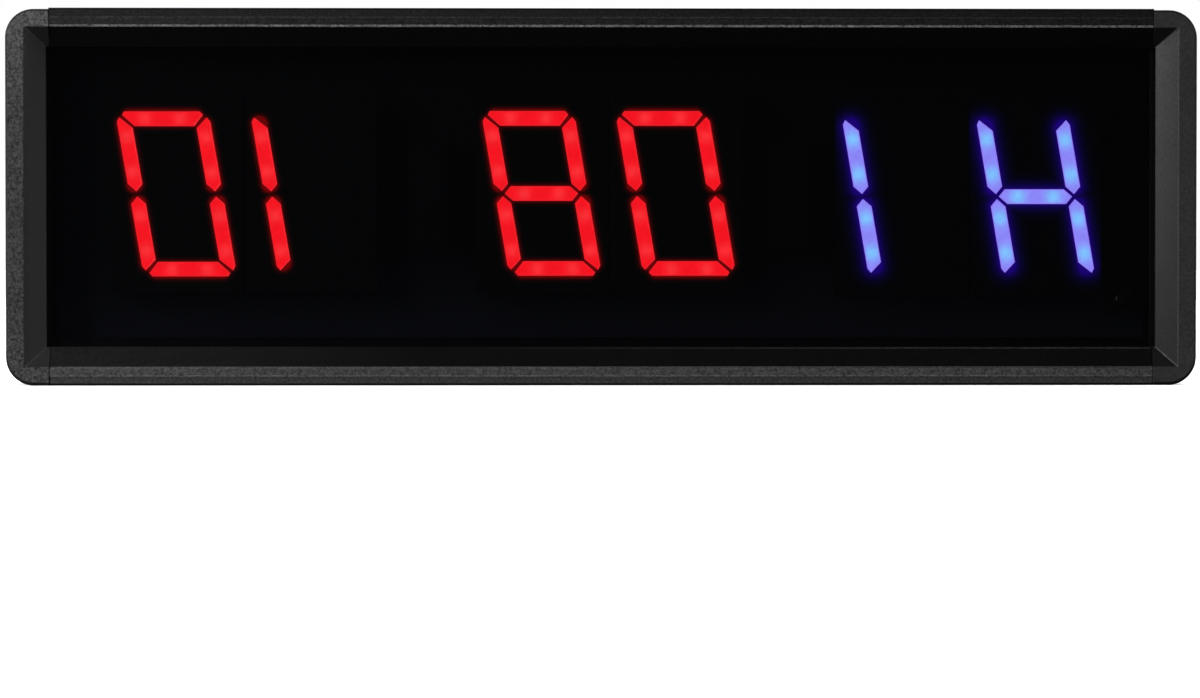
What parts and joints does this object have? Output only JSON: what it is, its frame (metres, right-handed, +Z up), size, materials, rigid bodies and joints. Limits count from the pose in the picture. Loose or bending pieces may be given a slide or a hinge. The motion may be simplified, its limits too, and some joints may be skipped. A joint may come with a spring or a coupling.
{
  "type": "gym round timer",
  "caption": "Long LED gym round timer: black aluminium and plastic frame, smoked front, lit red and blue seven-segment digits, and swivelling L brackets as feet.",
  "frame": {"origin": "centre of the underside, on the outer face of the bottom rail", "axes": "+X to the right seen from the front, +Y from the lens to the back plate, +Z up"},
  "size_m": [0.275, 0.0524, 0.087],
  "materials": {
    "black_anodised": "black anodised extrusion, satin, with fine lines along its length",
    "cap_plastic": "moulded black plastic with a fine grain",
    "smoked_lens": "polished dark smoked acrylic",
    "back_sheet": "fine-grained black sheet",
    "plated_steel": "bright nickel-plated steel sheet with a pebbled face",
    "black_screw": "black oxide steel",
    "circuit_board": "black solder mask",
    "module_board": "bare phenolic board",
    "module_shell": "black moulded reflector",
    "red_light": "lit red diffusing resin",
    "blue_light": "lit blue diffusing resin",
    "unlit_resin": "milky diffusing resin, unlit",
    "led_die": "light-emitting die",
    "tinned_pin": "tinned metal",
    "chip_resin": "black moulding compound",
    "holder_plastic": "natural nylon",
    "ir_resin": "infrared-passing black resin",
    "capacitor_sleeve": "dark sleeve",
    "red_wire": "red PVC insulation",
    "black_wire": "black PVC insulation",
    "inlet_metal": "nickel-plated brass"
  },
  "bodies": {
    "case": {"back_plate": "back_sheet", "backup_cell": "tinned_pin", "backup_cell_holder": "holder_plastic", "blue_led_chips": "led_die", "bottom_rail": "black_anodised", "bracket_screws": "black_screw", "buzzer": "chip_resin", "capacitors": "capacitor_sleeve", "clock_chip": "chip_resin", "clock_crystal": "tinned_pin", "colon_1_dots": "unlit_resin", "colon_1_housing": "module_shell", "colon_2_dots": "unlit_resin", "colon_2_housing": "module_shell", "digit_1_housing": "module_shell", "digit_1_led_board": "module_board", "digit_1_lit_segments": "red_light", "digit_1_unlit_segments": "unlit_resin", "digit_2_housing": "module_shell", "digit_2_led_board": "module_board", "digit_2_lit_segments": "red_light", "digit_2_unlit_segments": "unlit_resin", "digit_3_housing": "module_shell", "digit_3_led_board": "module_board", "digit_3_lit_segments": "red_light", "digit_4_housing": "module_shell", "digit_4_led_board": "module_board", "digit_4_lit_segments": "red_light", "digit_4_unlit_segments": "unlit_resin", "digit_5_housing": "module_shell", "digit_5_led_board": "module_board", "digit_5_lit_segments": "blue_light", "digit_5_unlit_segments": "unlit_resin", "digit_6_housing": "module_shell", "digit_6_led_board": "module_board", "digit_6_lit_segments": "blue_light", "digit_6_unlit_segments": "unlit_resin", "display_board": "circuit_board", "driver_chips": "chip_resin", "front_lens": "smoked_lens", "ir_receiver": "ir_resin", "left_cap_screws": "black_screw", "left_end_cap": "cap_plastic", "microcontroller": "chip_resin", "module_pins": "tinned_pin", "power_header": "holder_plastic", "power_inlet_body": "inlet_metal", "power_inlet_nut": "inlet_metal", "power_inlet_pin": "inlet_metal", "power_wire_negative": "black_wire", "power_wire_positive": "red_wire", "red_led_chips": "led_die", "resistors": "chip_resin", "right_cap_screws": "black_screw", "right_end_cap": "cap_plastic", "top_rail": "black_anodised", "voltage_regulator": "chip_resin"},
    "left_swivel": {"left_bracket": "plated_steel"},
    "right_swivel": {"right_bracket": "plated_steel"}
  },
  "joints": [
    {"name": "left_bracket_swivel", "type": "hinge", "parent": "case", "child": "left_swivel", "pos_m": [-0.1, 0.0147, 0.006], "axis": [0, 1, 0], "continuous": true},
    {"name": "right_bracket_swivel", "type": "hinge", "parent": "case", "child": "right_swivel", "pos_m": [0.1, 0.0147, 0.006], "axis": [0, -1, 0], "continuous": true}
  ]
}
